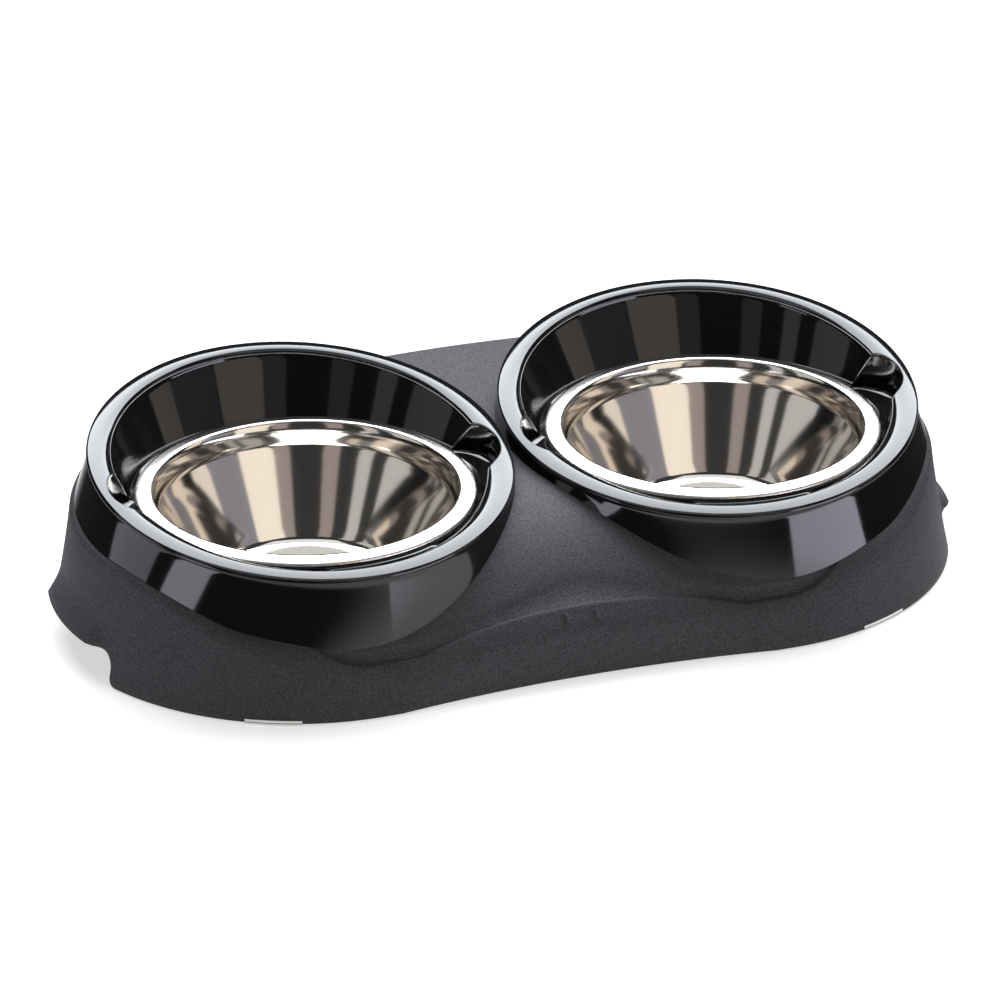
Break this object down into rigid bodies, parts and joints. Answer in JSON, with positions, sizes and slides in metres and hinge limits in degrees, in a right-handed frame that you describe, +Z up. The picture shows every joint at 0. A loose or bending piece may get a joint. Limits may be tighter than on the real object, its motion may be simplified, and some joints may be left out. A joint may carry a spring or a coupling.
{
  "type": "double pet bowl",
  "caption": "Low double feeding stand with a flared moulded base, tilted round gloss holders with finger notches and lift-out stainless steel bowls.",
  "frame": {"origin": "on the floor under the middle of the stand", "axes": "+X to the right along the row of bowls, +Y to the back where the holders are high, +Z up"},
  "size_m": [0.4416, 0.2344, 0.1004],
  "materials": {
    "base": "fine spark-eroded texture, charcoal, soft sheen",
    "holder": "high gloss black",
    "steel": "polished stainless steel with a finely brushed flange",
    "feet": "pale translucent rubber, matt",
    "screws": "zinc-plated steel"
  },
  "bodies": {
    "stand": {"base_shell": "base", "left_holder": "holder", "right_holder": "holder", "front_left_foot": "feet", "front_right_foot": "feet", "back_left_foot": "feet", "back_right_foot": "feet", "left_holder_screws": "screws", "right_holder_screws": "screws"},
    "left_bowl": {"left_bowl": "steel"},
    "right_bowl": {"right_bowl": "steel"}
  },
  "joints": [
    {"name": "left_bowl_lift", "type": "slide", "parent": "stand", "child": "left_bowl", "axis": [0, 0, 1], "range_m": [0, 0.11]},
    {"name": "right_bowl_lift", "type": "slide", "parent": "stand", "child": "right_bowl", "axis": [0, 0, 1], "range_m": [0, 0.11]}
  ]
}
